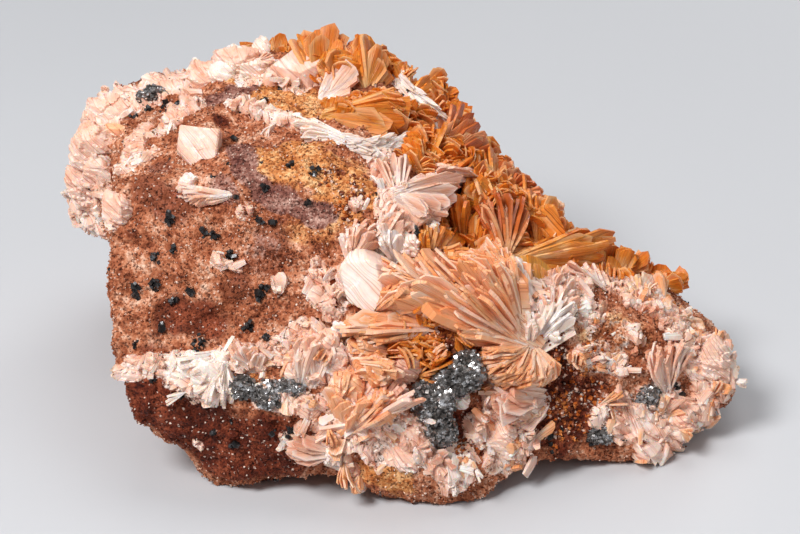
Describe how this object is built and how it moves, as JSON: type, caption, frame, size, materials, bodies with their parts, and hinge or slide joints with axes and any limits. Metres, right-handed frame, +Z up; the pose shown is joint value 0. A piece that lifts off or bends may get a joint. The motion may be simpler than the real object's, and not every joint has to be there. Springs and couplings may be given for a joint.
{
  "type": "barite mineral specimen on matrix",
  "caption": "Cabinet mineral specimen: fans and plates of orange, peach and white barite crystals with dark galena on a block of rusty sandstone, resting on its underside.",
  "frame": {"origin": "On the plane the stone rests on, below the middle of its bounding box", "axes": "+Z up from the resting plane, +X to the right along the broad sandy front face towards the thin lobe, +Y from the front face to the back"},
  "size_m": [0.1064, 0.074, 0.0532],
  "materials": {
    "rusty_sandstone": "rough",
    "orange_barite": "glossy",
    "ochre_barite": "glossy",
    "brown_barite": "glossy",
    "peach_barite": "glossy",
    "pink_barite": "satin",
    "white_barite": "satin",
    "galena": "metallic"
  },
  "bodies": {
    "root": {"matrix_stone": "rusty_sandstone", "barite_top_block": "pink_barite", "barite_top_blade": "pink_barite", "barite_top_rosette": "orange_barite", "barite_top_right_fan": "orange_barite", "barite_shell_sheaf": "orange_barite", "barite_white_rim": "white_barite", "barite_edge_fan": "orange_barite", "barite_edge_blades": "orange_barite", "barite_brown_wall": "brown_barite", "barite_shelf_plates": "pink_barite", "barite_plume_fan": "pink_barite", "barite_upright_blades": "orange_barite", "barite_curtain_fan": "brown_barite", "barite_hazy_blade": "orange_barite", "barite_corner_block": "orange_barite", "barite_ridge_blades": "brown_barite", "barite_wedge_fan": "orange_barite", "barite_ochre_disc": "ochre_barite", "barite_swept_rosette": "peach_barite", "barite_angular_block": "white_barite", "barite_leaning_blades": "peach_barite", "barite_leaf_sheaf": "peach_barite", "barite_lower_sheaf": "peach_barite", "barite_peach_spray": "peach_barite", "barite_pink_plates": "pink_barite", "barite_lower_left_mass": "white_barite", "barite_pink_mass": "pink_barite", "barite_upper_left_block": "pink_barite", "barite_rear_crust": "pink_barite", "barite_rear_top": "pink_barite", "barite_crest_ridge": "orange_barite", "barite_crest_root": "white_barite", "barite_lobe_plates": "pink_barite", "barite_tip_mass": "pink_barite", "barite_back_fan": "orange_barite", "barite_back_spray": "pink_barite", "galena_nodule": "galena", "galena_lower_left": "galena", "galena_rear_left": "galena", "galena_right_lobe": "galena", "galena_lobe_foot": "galena"}
  },
  "joints": []
}
